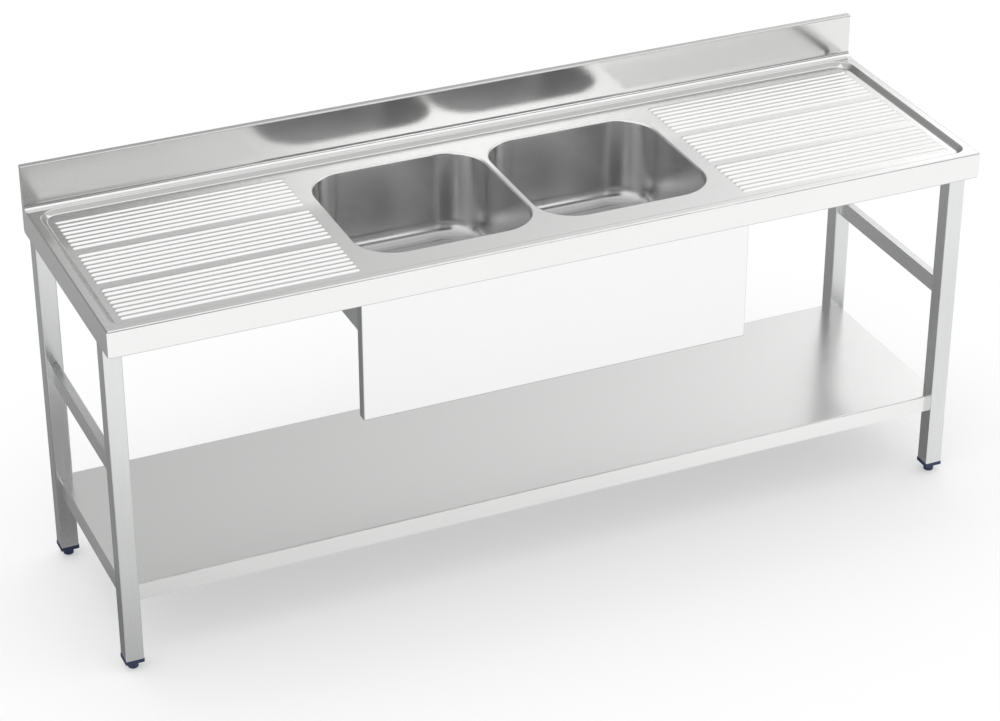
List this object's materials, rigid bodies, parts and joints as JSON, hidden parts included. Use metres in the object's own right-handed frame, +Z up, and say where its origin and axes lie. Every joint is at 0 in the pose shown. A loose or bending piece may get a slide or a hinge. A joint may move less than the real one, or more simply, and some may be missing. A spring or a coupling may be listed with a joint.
{
  "type": "kitchen sink unit",
  "caption": "Stainless professional sink table: two bowls between ribbed drainers, rear upstand, skirt panel, square legs with screw feet and a full lower shelf.",
  "frame": {"origin": "on the floor under the middle of the worktop's footprint", "axes": "+X to the right as a user stands at the front, -Y to the front, +Z up"},
  "size_m": [2, 0.6, 0.95],
  "materials": {
    "satin_steel": "satin",
    "bowl_steel": "satin",
    "plain_steel": "mill",
    "fastener_steel": "plain",
    "waste_steel": "polished",
    "navy_plastic": "matte",
    "grey_plastic": "matte",
    "seal_rubber": "matte"
  },
  "bodies": {
    "frame": {"worktop": "satin_steel", "bowl_left": "bowl_steel", "bowl_right": "bowl_steel", "end_channel_left": "plain_steel", "end_channel_right": "plain_steel", "drainer_channel_left": "plain_steel", "drainer_channel_right": "plain_steel", "cross_stiffener_left": "plain_steel", "cross_stiffener_right": "plain_steel", "front_panel": "satin_steel", "panel_bolts": "fastener_steel", "panel_nuts": "fastener_steel", "leg_front_left": "satin_steel", "leg_front_right": "satin_steel", "leg_rear_left": "satin_steel", "leg_rear_right": "satin_steel", "leg_plate_front_left": "plain_steel", "leg_plate_front_right": "plain_steel", "leg_plate_rear_left": "plain_steel", "leg_plate_rear_right": "plain_steel", "leg_bolts": "fastener_steel", "leg_nuts": "fastener_steel", "side_rail_left": "satin_steel", "side_rail_right": "satin_steel", "shelf": "satin_steel", "shelf_channel_front": "plain_steel", "shelf_channel_rear": "plain_steel", "foot_insert_front_left": "navy_plastic", "foot_insert_front_right": "navy_plastic", "foot_insert_rear_left": "navy_plastic", "foot_insert_rear_right": "navy_plastic", "foot_nuts": "fastener_steel", "waste_flange_left": "waste_steel", "waste_flange_right": "waste_steel", "waste_upper_seal_left": "seal_rubber", "waste_upper_seal_right": "seal_rubber", "waste_lower_seal_left": "seal_rubber", "waste_lower_seal_right": "seal_rubber", "waste_body_left": "grey_plastic", "waste_body_right": "grey_plastic", "waste_screws": "fastener_steel"},
    "foot_front_left": {"foot_base_front_left": "navy_plastic", "foot_stud_front_left": "fastener_steel"},
    "foot_front_right": {"foot_base_front_right": "navy_plastic", "foot_stud_front_right": "fastener_steel"},
    "foot_rear_left": {"foot_base_rear_left": "navy_plastic", "foot_stud_rear_left": "fastener_steel"},
    "foot_rear_right": {"foot_base_rear_right": "navy_plastic", "foot_stud_rear_right": "fastener_steel"}
  },
  "joints": [
    {"name": "foot_front_left_screw", "type": "slide", "parent": "frame", "child": "foot_front_left", "axis": [0, 0, -1], "range_m": [0, 0.025]},
    {"name": "foot_front_right_screw", "type": "slide", "parent": "frame", "child": "foot_front_right", "axis": [0, 0, -1], "range_m": [0, 0.025]},
    {"name": "foot_rear_left_screw", "type": "slide", "parent": "frame", "child": "foot_rear_left", "axis": [0, 0, -1], "range_m": [0, 0.025]},
    {"name": "foot_rear_right_screw", "type": "slide", "parent": "frame", "child": "foot_rear_right", "axis": [0, 0, -1], "range_m": [0, 0.025]}
  ]
}
